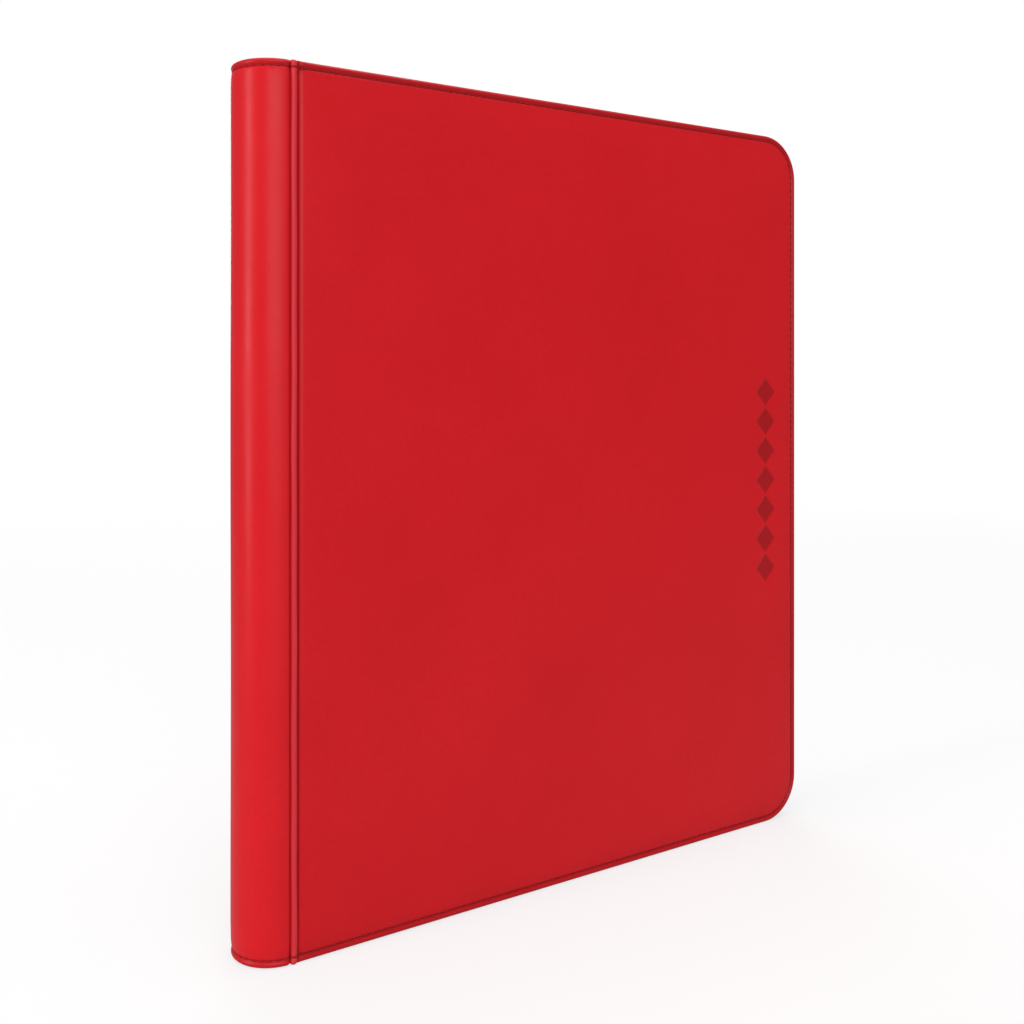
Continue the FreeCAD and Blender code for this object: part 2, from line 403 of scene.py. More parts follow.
def start_material(name, colour, roughness, specular=0.5, metallic=0.0, others=None):
    """New node material with the values that are the same all over. Returns it with its node tree."""
    material = bpy.data.materials.new(name)
    material.use_nodes = True
    values = {"Base Color": (*colour, 1.0), "Roughness": roughness,
              "Specular IOR Level": specular, "Metallic": metallic, **(others or {})}
    for socket, value in values.items():
        material.node_tree.nodes["Principled BSDF"].inputs[socket].default_value = value
    return material, material.node_tree


def add_node(tree, kind, values=None, links=None):
    """New node with socket values and links to its inputs."""
    node = tree.nodes.new("ShaderNode" + kind)
    for socket, value in (values or {}).items():
        node.inputs[socket].default_value = value
    for socket, output in (links or {}).items():
        tree.links.new(output, node.inputs[socket])
    return node


def coordinates(tree):
    """Object coordinates, in metres."""
    return add_node(tree, "TexCoord").outputs["Object"]


def noise(tree, scale, detail=2.0, roughness=0.5, vector=None):
    """Noise output, one feature about 1/scale metres across."""
    values = {"Scale": scale, "Detail": detail, "Roughness": roughness}
    return add_node(tree, "TexNoise", values, {"Vector": vector or coordinates(tree)}).outputs["Fac"]


def stretched(tree, vector, scale, *settings):
    """Noise on coordinates that are stretched along an axis: streaks."""
    mapping = add_node(tree, "Mapping", {"Scale": scale}, {"Vector": vector})
    return noise(tree, *settings, mapping.outputs["Vector"])


def cells(tree, scale):
    """Distance output of a cell pattern, one cell about 1/scale metres across."""
    node = add_node(tree, "TexVoronoi", {"Scale": scale}, {"Vector": coordinates(tree)})
    return node.outputs["Distance"]


def scaled(tree, value, low, high, from_low=0.0, from_high=1.0):
    """Maps value's range to low..high."""
    values = {"From Min": from_low, "From Max": from_high, "To Min": low, "To Max": high}
    return add_node(tree, "MapRange", values, {"Value": value}).outputs["Result"]


def math_node(tree, operation, first, second=0.5):
    """Math node on an output and an output or a number."""
    node = add_node(tree, "Math", links={0: first})
    node.operation = operation
    if isinstance(second, (int, float)):
        node.inputs[1].default_value = second
    else:
        tree.links.new(second, node.inputs[1])
    return node.outputs["Value"]


def mixed(tree, factor, first, second):
    """Colour between two colours or colour outputs."""
    node = add_node(tree, "Mix", links={"Factor": factor})
    node.data_type = "RGBA"
    sockets = [socket for socket in node.inputs if socket.type == "RGBA"]
    for socket, value in zip(sockets, (first, second)):
        if isinstance(value, tuple):
            socket.default_value = (*value, 1.0)
        else:
            tree.links.new(value, socket)
    return next(output for output in node.outputs if output.type == "RGBA")


def tinted(tree, value, first, second, from_low=0.3, from_high=0.7, most=1.0):
    """Colour from first to second as value rises, up to a share of second."""
    return mixed(tree, scaled(tree, value, 0.0, most, from_low, from_high), first, second)


def attribute(tree, name, output="Fac"):
    """A mesh attribute's output."""
    node = add_node(tree, "Attribute")
    node.attribute_name = name
    return node.outputs[output]


def finished(material, colour, roughness, bumps):
    """The material with its colour, roughness and bumps: (height output, strength, metres)."""
    tree = material.node_tree
    shader = tree.nodes["Principled BSDF"]
    tree.links.new(colour, shader.inputs["Base Color"])
    tree.links.new(roughness, shader.inputs["Roughness"])
    links = {}
    for value, strength, distance in bumps:
        values = {"Strength": strength, "Distance": distance}
        node = add_node(tree, "Bump", values, {"Height": value, **links})
        links = {"Normal": node.outputs["Normal"]}
    tree.links.new(links["Normal"], shader.inputs["Normal"])
    return material


def leatherette():
    """Smooth red leatherette: faint mottling, very fine grain, painted shade in the stitched groove and a
    painted highlight on the hinge welt.
    """
    material, tree = start_material("leatherette", (0.700, 0.0105, 0.0165), 0.38, specular=0.17)
    cloudy = noise(tree, 16, 4, 0.6)
    colour = tinted(tree, cloudy, (0.675, 0.0095, 0.0150), (0.730, 0.0115, 0.0185))
    fine = noise(tree, 420, 3, 0.6)
    colour = tinted(tree, fine, colour, (0.610, 0.0085, 0.0140), 0.35, 0.75, most=0.35)
    # Lighter where an attribute says so: along the rolled edges' crests, and a painted highlight on the
    # hinge welt's crown.
    colour = mixed(tree, attribute(tree, "wear_and_highlight"), colour, (0.780, 0.045, 0.060))
    # Painted shade from the shade attribute: stitched grooves, rims, hinge gutters and the hinge fold; the
    # debossed motif is darkened by it too.
    colour = mixed(tree, attribute(tree, "shade"), colour, (0.230, 0.0060, 0.0080))
    roughness = scaled(tree, noise(tree, 34, 4, 0.6), 0.31, 0.40, 0.3, 0.7)
    grain = cells(tree, 1150)
    wrinkle = noise(tree, 260, 5, 0.62)
    return finished(material, colour, roughness, [(grain, 0.10, 0.00012), (wrinkle, 0.10, 0.00025)])


def thread():
    """Twisted sewing thread, a shade darker than the leatherette."""
    material, tree = start_material("sewing_thread", (0.3, 0.01, 0.014), 0.6, specular=0.3)
    strands = noise(tree, 1900)
    colour = tinted(tree, strands, (0.26, 0.007, 0.010), (0.46, 0.012, 0.017))
    return finished(material, colour, scaled(tree, strands, 0.5, 0.75), [(strands, 0.5, 0.00012)])


def woven(name, dark, light, warp_mm, weft_mm, twill=0.0):
    """Woven cloth with thicker yarns here and there. Its threads follow the attribute thread_mm."""
    sheen = {"Sheen Weight": 0.15, "Sheen Roughness": 0.5}
    material, tree = start_material(name, light, 0.8, specular=0.25, others=sheen)
    vector = attribute(tree, "thread_mm", "Vector")
    along, across, _ = add_node(tree, "SeparateXYZ", links={"Vector": vector}).outputs
    leaning = math_node(tree, "ADD", along, math_node(tree, "MULTIPLY", across, twill))
    warp = math_node(tree, "SINE", math_node(tree, "MULTIPLY", leaning, 2 * math.pi / warp_mm))
    weft = math_node(tree, "SINE", math_node(tree, "MULTIPLY", across, 2 * math.pi / weft_mm))
    weave = math_node(tree, "MULTIPLY", warp, weft)
    fuzz = noise(tree, 900, 3, 0.6)
    threads = math_node(tree, "ADD", scaled(tree, weave, 0.0, 0.7, -1.0, 1.0),
                        math_node(tree, "MULTIPLY", fuzz, 0.3))
    slubs = [stretched(tree, vector, scale, 1.0, 3, 0.65) for scale in slub_scales]
    uneven = math_node(tree, "MULTIPLY", *slubs)
    paler = tuple(1.9 * channel for channel in light)
    colour = mixed(tree, threads, dark, tinted(tree, uneven, light, paler, 0.14, 0.38))
    roughness = scaled(tree, fuzz, 0.62, 0.85, 0.3, 0.7)
    return finished(material, colour, roughness, [(threads, 0.6, 0.00012)])


def coil_nylon():
    """Black nylon monofilament of the zipper's coil."""
    material, tree = start_material("coil_nylon", (0.02, 0.02, 0.022), 0.35)
    scuffs = noise(tree, 300, 4, 0.6)
    colour = tinted(tree, scuffs, (0.013, 0.013, 0.015), (0.035, 0.034, 0.036), 0.35)
    roughness = scaled(tree, scuffs, 0.28, 0.5, 0.3, 0.7)
    return finished(material, colour, roughness, [(scuffs, 0.15, 0.00005)])


def slider_metal():
    """Dark nickel-plated zinc with fine scratches and brighter worn patches."""
    material, tree = start_material("slider_metal", (0.25, 0.25, 0.27), 0.3, metallic=1.0)
    cloudy = noise(tree, 150, 4, 0.6)
    colour = tinted(tree, cloudy, (0.16, 0.16, 0.175), (0.34, 0.34, 0.36), 0.35)
    scratches = stretched(tree, coordinates(tree), (1.0, 14.0, 14.0), 160, 3, 0.7)
    roughness = scaled(tree, scratches, 0.22, 0.45, 0.3, 0.75)
    return finished(material, colour, roughness, [(scratches, 0.12, 0.00005)])


def pocket_film():
    """Clear glossy pocket film welded over the page's black sheet."""
    coat = {"Coat Weight": 0.9, "Coat Roughness": 0.10}
    material, tree = start_material("pocket_film", (0.02, 0.02, 0.022), 0.2, specular=0.6, others=coat)
    ripples = noise(tree, 17, 2, 0.4)
    haze = noise(tree, 55, 4, 0.6)
    dust = noise(tree, 1400, 2, 0.6)
    colour = tinted(tree, haze, (0.024, 0.024, 0.027), (0.036, 0.036, 0.040))
    colour = tinted(tree, dust, colour, (0.075, 0.075, 0.080), 0.62, 0.8, most=0.5)
    roughness = scaled(tree, haze, 0.14, 0.26, 0.3, 0.75)
    return finished(material, colour, roughness, [(ripples, 0.30, 0.0014), (dust, 0.012, 0.00005)])


def page_sheet_black():
    """Matte black sheet of the page, textured along its welds."""
    material, tree = start_material("page_sheet", (0.02, 0.02, 0.02), 0.6, specular=0.35)
    pebble = cells(tree, 900)
    colour = tinted(tree, noise(tree, 60, 3, 0.6), (0.012, 0.012, 0.013), (0.028, 0.028, 0.03))
    return finished(material, colour, scaled(tree, pebble, 0.45, 0.7, 0.0, 0.8), [(pebble, 0.35, 0.00015)])


def fibrous(name, dark, light, scale, roughness, strength):
    """Board, foam or moulded sheet: speckled, with a rough surface."""
    material, tree = start_material(name, light, roughness, specular=0.3)
    speckle = noise(tree, scale, 5, 0.65)
    rough = scaled(tree, speckle, roughness - 0.12, roughness + 0.08, 0.3, 0.7)
    return finished(material, tinted(tree, speckle, dark, light), rough, [(speckle, strength, 0.0003)])


def floor_look():
    """Pale floor material that fades to the background's white far from the object."""
    material, tree = start_material("floor", (0.86, 0.86, 0.86), 0.75, specular=0.1)
    speckle = noise(tree, 40)
    colour = mixed(tree, speckle, (0.86, 0.86, 0.86), (0.88, 0.88, 0.88))
    shader = tree.nodes["Principled BSDF"]
    tree.links.new(colour, shader.inputs["Base Color"])
    tree.links.new(scaled(tree, speckle, 0.7, 0.8), shader.inputs["Roughness"])
    distance = add_node(tree, "VectorMath", links={0: coordinates(tree)})
    distance.operation = "LENGTH"
    seen = add_node(tree, "LightPath").outputs["Is Camera Ray"]
    glow = add_node(tree, "Emission", links={"Strength": scaled(tree, seen, 0.30, 1.0)})
    fade = scaled(tree, distance.outputs["Value"], 0.70, 1.0, 0.35, 1.6)
    blend = add_node(tree, "MixShader", links={"Fac": fade, 1: shader.outputs["BSDF"],
                                               2: glow.outputs["Emission"]})
    tree.links.new(blend.outputs["Shader"], tree.nodes["Material Output"].inputs["Surface"])
    return material


materials = {
    "leatherette": leatherette(),
    "thread": thread(),
    "dark_thread": fibrous("dark_thread", (0.02, 0.02, 0.02), (0.06, 0.06, 0.06), 1800, 0.6, 0.3),
    "lining": woven("lining_cloth", (0.010, 0.010, 0.011), (0.040, 0.040, 0.043), 0.9, 0.9),
    "tape": woven("tape_cloth", (0.008, 0.008, 0.009), (0.030, 0.030, 0.032), 0.8, 1.1, twill=0.5),
    "coil": coil_nylon(),
    "metal": slider_metal(),
    "film": pocket_film(),
    "page": page_sheet_black(),
    "board": fibrous("grey_board", (0.16, 0.15, 0.13), (0.34, 0.32, 0.29), 500, 0.85, 0.4),
    "foam": fibrous("foam_pad", (0.45, 0.43, 0.36), (0.75, 0.72, 0.62), 900, 0.9, 0.6),
    "stiffener": fibrous("stiffener_sheet", (0.03, 0.03, 0.03), (0.07, 0.07, 0.07), 240, 0.5, 0.15),
    "floor": floor_look(),
}


# ---- cover leather

def motif(x, z):
    """How deep the debossed lozenges are at a point, from 0 to 1."""
    start = motif_z - motif_pitch * (motif_count - 1) / 2
    number = np.clip(np.round((z - start) / motif_pitch), 0, motif_count - 1)
    across = np.abs(x - motif_x) / motif_half_width
    along = np.abs(z - start - number * motif_pitch) / (motif_pitch * 0.47)
    inside = (1 - across - along) * motif_half_width * 0.7
    return smooth(inside / 0.8 + 0.5)


def edge_shape(inset):
    """Height of the leather above its outer plane, by inset from the outline."""
    padding = 0.36 - 0.56 * np.exp(-(inset - 3.9) / 5.5)
    table = np.array(rolled_edge)
    near = np.interp(inset, table[:, 0], table[:, 1])
    return np.where(inset <= rolled_edge[-1][0], near, padding)


def relief(x, z, inset, run, with_motif):
    """What the padding, puckers, hinge roll and motif add to the leather's height."""
    waves = 0.05 * np.sin(x / 31 + 1.3 * np.sin(z / 47)) + 0.045 * np.sin(z / 38 + x / 66)
    beat = np.cos(2 * math.pi * run / stitch_pitch)
    holes = -0.14 * (0.5 + 0.5 * beat) * ridge(inset, stitch_inset, 0.4)
    puckers = -0.10 * beat * ridge(inset, 3.85, 0.5)
    rolls = -0.035 * beat * ridge(inset, 1.9, 0.5)
    hinge = -0.62 * (1 - smooth((x - cover_x) / 1.5)) ** 2 - 0.46 * np.exp(-(x - cover_x) / 3.2)
    mark = -motif_depth * motif(x, z) if with_motif else 0.0
    on_face = smooth((inset - 0.2) / 1.1)
    return on_face * (waves * smooth((inset - 3) / 8) + holes + puckers + rolls + mark + hinge)


def groove_shade(inset, x, z, with_motif):
    """Painted shade on the leather: in the stitched groove, on the rolled edge, at the rim and beside the
    hinge; the debossed motif is darkened too.
    """
    groove = 0.55 * ridge(inset, stitch_inset, 0.55)
    near = 0.12 * np.exp(-np.abs(inset - stitch_inset) / 3.5) + 0.30 * (1 - smooth((inset - 1.6) / 1.2))
    rim = 0.50 * (1 - smooth((inset - 0.2) / 1.1))
    hinge = 0.32 * ridge(x, cover_x, 0.5)
    mark = 0.55 * motif(x, z) if with_motif else 0.0
    return max(groove + max(near, rim), hinge, mark)


def cover_samples():
    """Samples along the cover's top and fore edges, and those that its flat middle keeps."""
    before = np.concatenate([[cover_x, cover_x + 0.3, cover_x + 0.6],
                             spaced(cover_x + 1.0, motif_zone_x, 0.85)])
    top_x = np.concatenate([before, spaced(motif_zone_x, fore_x - corner_radius, 0.6)[1:]])
    top_kept = [0, 1, 2, 3, 4, 6, *range(10, len(before) - 2, 4), *range(len(before) - 1, len(top_x))]
    zone_low, zone_high = motif_zone_z
    above = spaced(height - corner_radius, zone_high, 0.85)
    beside = spaced(zone_high, zone_low, 0.6)[1:]
    below = spaced(zone_low, corner_radius, 0.85)[1:]
    first, second, last = np.cumsum([len(above), len(beside), len(below)])
    coarse = {*range(0, first - 2, 4), second - 1, *range(second + 3, last - 2, 4), last - 1}
    fore_kept = sorted(coarse | {*range(first - 1, second)})
    far_rows = sorted(coarse | {*range(first - 1, second, 5)})
    return top_x, top_kept, np.concatenate([above, beside, below]), fore_kept, far_rows


def cover_leather(with_motif):
    """Points, faces and attributes of one cover's leather, wrapped round its edges."""
    top_x, top_kept, fore_z, fore_kept, far_rows = cover_samples()
    feet, outs = edge_path(top_x, corner_steps, fore_z)
    run = run_along(at_inset(feet, outs, stitch_inset))
    first_fore = len(top_x) + corner_steps - 1
    second_arc = first_fore + len(fore_z)
    last = len(feet) - 1
    every = range(last + 1)
    kept = {*top_kept, *(last - index for index in top_kept), *(first_fore + row for row in fore_kept)}
    for arc in (len(top_x), second_arc):
        kept |= {*range(arc + 3, arc + corner_steps - 1, 4)}
    kept = sorted(kept)
    rows = [(inset, level, kept, False) for inset, level in turn_in]
    rows += [(inset, level, every, True) for inset, level in rolled_edge]
    inward = [*padded_insets, *spaced(14.4, corner_radius, 0.62)]
    rows += [(inset, float(edge_shape(inset)), kept, True) for inset in inward]
    points, shades, wear_and_highlights = [], [], []

    def add(x, z, level, inset, length, outer):
        """Adds one point of the leather and returns its number."""
        if outer:
            lift = level + relief(x, z, inset, length, with_motif)
            shades.append(groove_shade(inset, x, z, with_motif))
        else:
            at_hinge = 1 - smooth((x - cover_x) / 1.8)
            lift = level + 1.5 * at_hinge * smooth((-2.9 - level) / 1.9)
            # Painted shade on the leather turned in round the edge.
            shades.append(0.45)
        # Lighter along the crest of the rolled edge.
        wear_and_highlights.append(0.12 * ridge(inset, 1.1, 0.4) if outer else 0.0)
        points.append((x, -half_depth - lift, z))
        return len(points) - 1

    rings = []
    for inset, level, samples, outer in rows:
        spots = at_inset(feet, outs, inset)
        ring, met = {}, {}
        for sample in samples:
            x, z = spots[sample]
            key = (round(x, 6), round(z, 6))
            if key not in met:
                met[key] = add(x, z, level, inset, run[sample], outer)
            ring[sample] = met[key]
        rings.append(ring)
    faces = []
    for first, second in zip(rings, rings[1:]):
        faces += join_rings(first, second)

    columns = []
    for index in top_kept:
        x = top_x[index]
        column = {0: rings[-1][index], len(fore_z) - 1: rings[-1][last - index]}
        for row in fore_kept if x > motif_zone_x - 0.1 else far_rows:
            z = fore_z[row]
            inset = min(height - z, z, fore_x - x)
            if row not in column and index == len(top_x) - 1:
                column[row] = rings[-1][first_fore + row]
            elif row not in column:
                column[row] = add(x, z, float(edge_shape(inset)), inset, 0.0, True)
        columns.append(column)
    for left, right in zip(columns, columns[1:]):
        faces += join_rings(right, left)
    return points, faces, {"shade": np.array(shades), "wear_and_highlight": np.array(wear_and_highlights)}


def make_cover_leather(side):
    """The leather of one cover. Only the front carries the motif."""
    points, faces, attributes = cover_leather(side == "front")
    sided(side, "cover_leather", (points, faces), "leatherette", "leatherette", "cover_skin",
          closed=False, attributes=attributes, thickness=skin_thickness)


# ---- stitches

def stitch(centre, along, outward, length=2.5, radius=0.27):
    """One stitch: a short thread that dips into the leather at both ends."""
    side = np.cross(along, outward)
    turn = np.linspace(0, 2 * math.pi, 7, endpoint=False)[:, None]
    sections = []
    for t in np.linspace(-1, 1, 7):
        sink = 0.34 * abs(t) ** 3
        size = radius * math.sqrt(max(0.05, 1 - (abs(t) ** 4) * 0.9))
        middle = centre + along * (t * length / 2) - outward * sink
        sections.append(middle + size * (np.cos(turn) * outward + np.sin(turn) * side))
    return loft(sections)


def stitch_places(line):
    """Middle and direction of each stitch of a row along a line in 3-D."""
    run = run_along(line)
    for number in range(int(run[-1] / stitch_pitch)):
        middle = (number + 0.5) * stitch_pitch
        here, ahead = (np.array([np.interp(place, run, line[:, axis]) for axis in range(3)])
                       for place in (middle, middle + 0.5))
        along = ahead - here
        yield here, along / np.linalg.norm(along)


def cover_stitches(side):
    """The row of stitches round one cover's three outer edges."""
    outward = np.array([0.0, -1.0, 0.0])
    line = at_inset(*even_path(cover_x, 0.5), stitch_inset)
    parts = []
    for centre, along in stitch_places(on_plane(line, -half_depth + stitch_depth)):
        lean = spread.uniform(-0.05, 0.05)
        parts.append(stitch(centre, along + lean * np.cross(along, outward), outward))
    sided(side, "cover_stitches", merged(parts), "thread", "leatherette")


# ---- spine

def spine_section():
    """The spine's outline in XY, from the front hinge strip round to the back one."""
    strip = [(hinge_x - 0.1 - x, -15.62) for x in (0.0, 0.9, 1.8, 2.6)]
    lip = [(0.25, -15.66), (0.02, -15.82), (-0.16, -16.06), (-0.42, -16.28), (-0.8, -16.43), (-1.3, -16.46)]
    turns = np.radians(np.linspace(7.0, 90.0, 30))
    arc = [(spine_x - half_depth * math.sin(a), -half_depth * math.cos(a)) for a in turns]
    half = np.array(strip + [(spine_x + x, y) for x, y in lip] + arc)
    return np.concatenate([half, half[-2::-1] * (1, -1)])


def spine_leather(section):
    """Half-round leather spine, rolled over both ends and stitched across them."""
    outward = np.column_stack([np.minimum(section[:, 0] - spine_x, 0.0), section[:, 1]])
    outward /= np.linalg.norm(outward, axis=1, keepdims=True)
    beat = np.cos(2 * math.pi * run_along(section) / stitch_pitch)
    on_round = smooth((spine_x - 0.3 - section[:, 0]) / 1.2)
    # Painted shade in the gutter beside the hinge welt.
    gutter = 0.5 * ridge(section[:, 0], spine_x + 0.1, 0.42)
    levels = spine_turn_in + rolled_edge
    levels += [(inset, 0.06 - 0.1 * math.exp(-(inset - 3.9) / 3)) for inset in (6.5, 9.0, 13.0)]
    rows = [(inset, level, inset) for inset, level in levels]
    rows += [(z, 0.06, min(z, height - z)) for z in spaced(17, height - 17, 5.0)]
    rows += [(height - inset, level, inset) for inset, level in levels[::-1]]
    points, shades, wear_and_highlights = [], [], []
    for z, level, inset in rows:
        pucker = -0.08 * beat * ridge(inset, 3.85, 0.5)
        pucker -= 0.12 * (0.5 + 0.5 * beat) * ridge(inset, stitch_inset, 0.4)
        sway = 0.07 * np.sin(z / 29 + section[:, 1] / 6) * (inset > 10)
        lift = np.maximum(level, -1.75 - on_round) + (pucker + sway) * on_round
        points.append(at_height(section + outward * lift[:, None], z))
        # Painted shade in the stitched groove, on the rolled edge, at the rim and in the gutter; a little
        # lighter along the edge's crest.
        groove = 0.55 * ridge(inset, stitch_inset, 0.55)
        rolled = 0.28 * (1 - smooth((inset - 1.6) / 1.2))
        rim = 0.42 * (1 - smooth((inset - 0.2) / 1.1))
        shades.append(np.maximum(max(groove, rolled, rim), gutter))
        wear_and_highlights.append(np.full(len(section), 0.14 * ridge(inset, 1.0, 0.5)))
    faces = [(a, d, c, b) for a, b, c, d in grid_faces(len(rows), len(section))]
    attributes = {"shade": np.concatenate(shades), "wear_and_highlight": np.concatenate(wear_and_highlights)}
    piece = make_piece("spine_leather", np.concatenate(points), faces, ["leatherette"],
                       closed=False, attributes=attributes, thickness=skin_thickness)
    attach(piece, "spine", "spine_skin")


def spine_stitches(section):
    """Stitches across the spine's two ends."""
    parts = []
    for z in (stitch_inset, height - stitch_inset):
        for place, along in stitch_places(at_height(section, z)):
            outward = place - (spine_x, 0, z)
            outward /= np.linalg.norm(outward)
            if place[0] <= spine_x - 0.6:
                parts.append(stitch(place - outward * stitch_depth, along, outward))
    piece = make_piece("spine_stitches", *merged(parts), ["thread"])
    attach(piece, "spine")


def hinge_welt(side):
    """Raised bead between the spine and the cover, notched where the stitches cross it."""
    middle_x = (spine_x + hinge_x) / 2
    turn = np.linspace(0, math.pi, 11)
    near = [0.0, 0.12, 0.35, 0.7, 1.1, 1.6, 2.1, 2.4, 2.65, 2.9, 3.15, 3.4, 3.8, 4.4, 5.4, 7.0]
    levels = [(z, z) for z in near]
    levels += [(z, min(z, height - z)) for z in spaced(10.0, height - 10.0, 3.2)]
    levels += [(height - z, z) for z in near[::-1]]
    # Painted shade on the welt's flanks, down in the gutters beside it.
    gutter = 0.42 * (1 - np.clip(1.5 * np.sin(turn), 0, 1) ** 0.8)
    sections, shades = [], []
    for z, inset in levels:
        size = 1 - 0.55 * (1 - smooth(inset / 0.7)) ** 2
        size *= 1 + 0.07 * ridge(inset, 1.3, 0.8)
        notch = 1 - 0.42 * ridge(inset, stitch_inset, 0.36)
        sway = (0.07 * math.sin(z / 8.5) + 0.05 * math.sin(z / 19.0 + 1)) * smooth((inset - 4) / 10)
        half_width = 1.28 * size * (1 + 0.03 * math.sin(z / 6.1))
        x = middle_x + sway + half_width * np.cos(turn)
        y = -15.5 - 1.22 * size * notch * np.sin(turn) ** 0.8
        foot = [(middle_x - 0.9, -15.2), (middle_x + 0.9, -15.2)]
        sections.append(at_height([*zip(x, y), *foot], z))
        # Painted shade where the stitches notch the welt, and on its two foot points.
        dark = 0.8 * ridge(inset, stitch_inset, 0.4)
        shades.append(np.concatenate([np.maximum(dark, gutter), [0.75, 0.75]]))
    shade = np.concatenate(shades)
    # The welt's crown gets a painted highlight: lighter wherever it has no painted shade.
    sided(side, "hinge_piping", loft(sections), "leatherette", "leatherette", "hinge_welt", body="spine",
          attributes={"shade": shade, "wear_and_highlight": 0.75 * (1 - shade)})


def hinge_fold(side):
    """Leather and cloth fold that joins the spine to one cover at the hinge."""
    section = np.array(fold_leather + fold_cloth)
    middle = np.array([-127.6, -13.6])
    levels = fold_ends + [(z, 1.0) for z in spaced(5.0, height - 5.0, 8.0)]
    levels += [(height - z, size) for z, size in fold_ends[::-1]]
    drop = 1.8 * smooth((section[:, 0] + 125.0) / 1.2) + 1.5 * smooth((-129.5 - section[:, 0]) / 1.2)
    sections = []
    for z, size in levels:
        lowered = drop * (max(0.0, 1 - z / 6) - max(0.0, 1 - (height - z) / 6))
        sections.append(at_height(middle + (section - middle) * size, z + lowered))
    points, faces = for_side(side, *loft(sections))
    ends = np.minimum(points[:, 2], height - points[:, 2]) < 1.0
    turned_over = ends & (points[:, 0] > -130.6) & (points[:, 0] < -125.4)
    slots = []
    for face in faces:
        columns = [vertex % len(section) for vertex in face]
        outer = min(columns) < max(columns) < len(fold_leather)
        leather = len(face) > 4 or outer or all(turned_over[vertex] for vertex in face)
        slots.append(0 if leather else 1)
    high, around = np.meshgrid([z for z, size in levels], run_along(section), indexing="ij")
    # Painted shade on the fold down in the hinge gutter, less at its turned-over ends.
    shade = np.where(ends, 0.25, 0.85)
    threads = np.column_stack([around.ravel(), high.ravel(), 0 * high.ravel()])
    piece = make_piece(side + "_hinge_fold", points, faces, ["leatherette", "lining"], slots=slots,
                       attributes={"shade": shade, "wear_and_highlight": 0 * shade, "thread_mm": threads})
    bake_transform(piece)


# ---- sheets and pads

def panel_lines(x0, x1, z0, z1, radius, across, up):
    """Grid of points in XZ over a panel with rounded fore-edge corners, and their edge distances."""
    grid_x = np.zeros((len(up), len(across)))
    grid_z = np.zeros_like(grid_x)
    for row, share in enumerate(up):
        z = z0 + share * (z1 - z0)
        short = max(0.0, radius - min(z - z0, z1 - z))
        dip = radius - math.sqrt(max(0.0, radius ** 2 - short ** 2))
        grid_x[row] = x0 + np.asarray(across) * (x1 - dip - x0)
        grid_z[row] = z
    near = np.minimum.reduce([grid_x - x0, x1 - grid_x, grid_z - z0, z1 - grid_z])
    return grid_x, grid_z, near


def sheet_between(grid_x, grid_z, front_y, back_y):
    """Closed sheet over a grid, between two surfaces given as y at each point."""
    rows, columns = grid_x.shape
    total = rows * columns
    front = np.column_stack([grid_x.ravel(), front_y.ravel(), grid_z.ravel()])
    back = np.column_stack([grid_x.ravel(), back_y.ravel(), grid_z.ravel()])
    faces = []
    for quad in grid_faces(rows, columns):
        faces += [quad, tuple(total + vertex for vertex in quad[::-1])]
    rim = [row * columns for row in range(rows)][::-1]
    rim += [*range(1, columns)]
    rim += [row * columns + columns - 1 for row in range(1, rows)]
    rim += [(rows - 1) * columns + column for column in range(columns - 2, 0, -1)]
    for here, following in zip(rim, rim[1:] + rim[:1]):
        faces.append((here, following, total + following, total + here))
    return np.concatenate([front, back]), faces


def bunched(count, share=0.08, steps=7):
    """Shares from 0 to 1 that crowd towards both ends."""
    ends = share * (1 - np.cos(np.linspace(0, math.pi / 2, steps)))
    return np.concatenate([ends, np.linspace(share, 1 - share, count)[1:-1], 1 - ends[::-1]])


def cover_lining(side):
    """Cloth lining over the inside of one cover, its edge turned under."""
    x0, x1, z0, z1, radius = cover_x + 1.6, fore_x - 2.1, 2.1, height - 2.1, 18.9
    grid_x, grid_z, near = panel_lines(x0, x1, z0, z1, radius, bunched(44), bunched(56))
    ripple = 0.03 * np.sin(grid_x / 17 + np.sin(grid_z / 23)) * smooth(near / 20)
    top = inner_y + 0.05 - 0.16 * np.exp(-near / 0.8) + ripple
    bottom = inner_y - 0.3 + 0 * grid_x
    points, faces = for_side(side, *sheet_between(grid_x, grid_z, bottom, top))
    piece = make_piece(side + "_lining_cloth", points, faces, ["lining"],
                       attributes={"thread_mm": points[:, [0, 2, 1]]})
    attach(piece, side + "_cover", side + "_cover_lining")


def cover_foam(side):
    """Foam pad under the leather: full in the middle and pinched at its edges."""
    grid_x, grid_z, near = panel_lines(cover_x + 1.0, fore_x - 1.0, 1.0, height - 1.0, 20.0,
                                       bunched(30), bunched(38))
    outer = -half_depth + 1.0 + 0.75 * np.exp(-near / 2.5)
    inner = -half_depth + 2.88 + 0 * near
    mesh = sheet_between(grid_x, grid_z, outer, inner)
    sided(side, "foam_pad", mesh, "foam", "foam", "cover_foam")


def spine_lining_cloth():
    """Cloth lining inside the spine's curve."""
    radius = 13.5
    turns = np.radians(np.linspace(1.0, 179.0, 41))
    ends = np.array([1.2, 1.6, 3.0])
    rows = np.concatenate([ends, spaced(8.0, height - 8.0, 8.0), height - ends[::-1]])
    points, threads = [], []
    for z in rows:
        size = radius + 0.02 * math.sin(z / 21)
        curve = np.column_stack([spine_x - size * np.sin(turns), -size * np.cos(turns)])
        points.append(at_height(curve, z))
        threads.append(np.column_stack([radius * turns, 0 * turns + z, 0 * turns]))
    piece = make_piece("spine_lining_cloth", np.concatenate(points), grid_faces(len(rows), len(turns)),
                       ["lining"], closed=False, attributes={"thread_mm": np.concatenate(threads)},
                       thickness=0.35)
    attach(piece, "spine", "spine_lining")


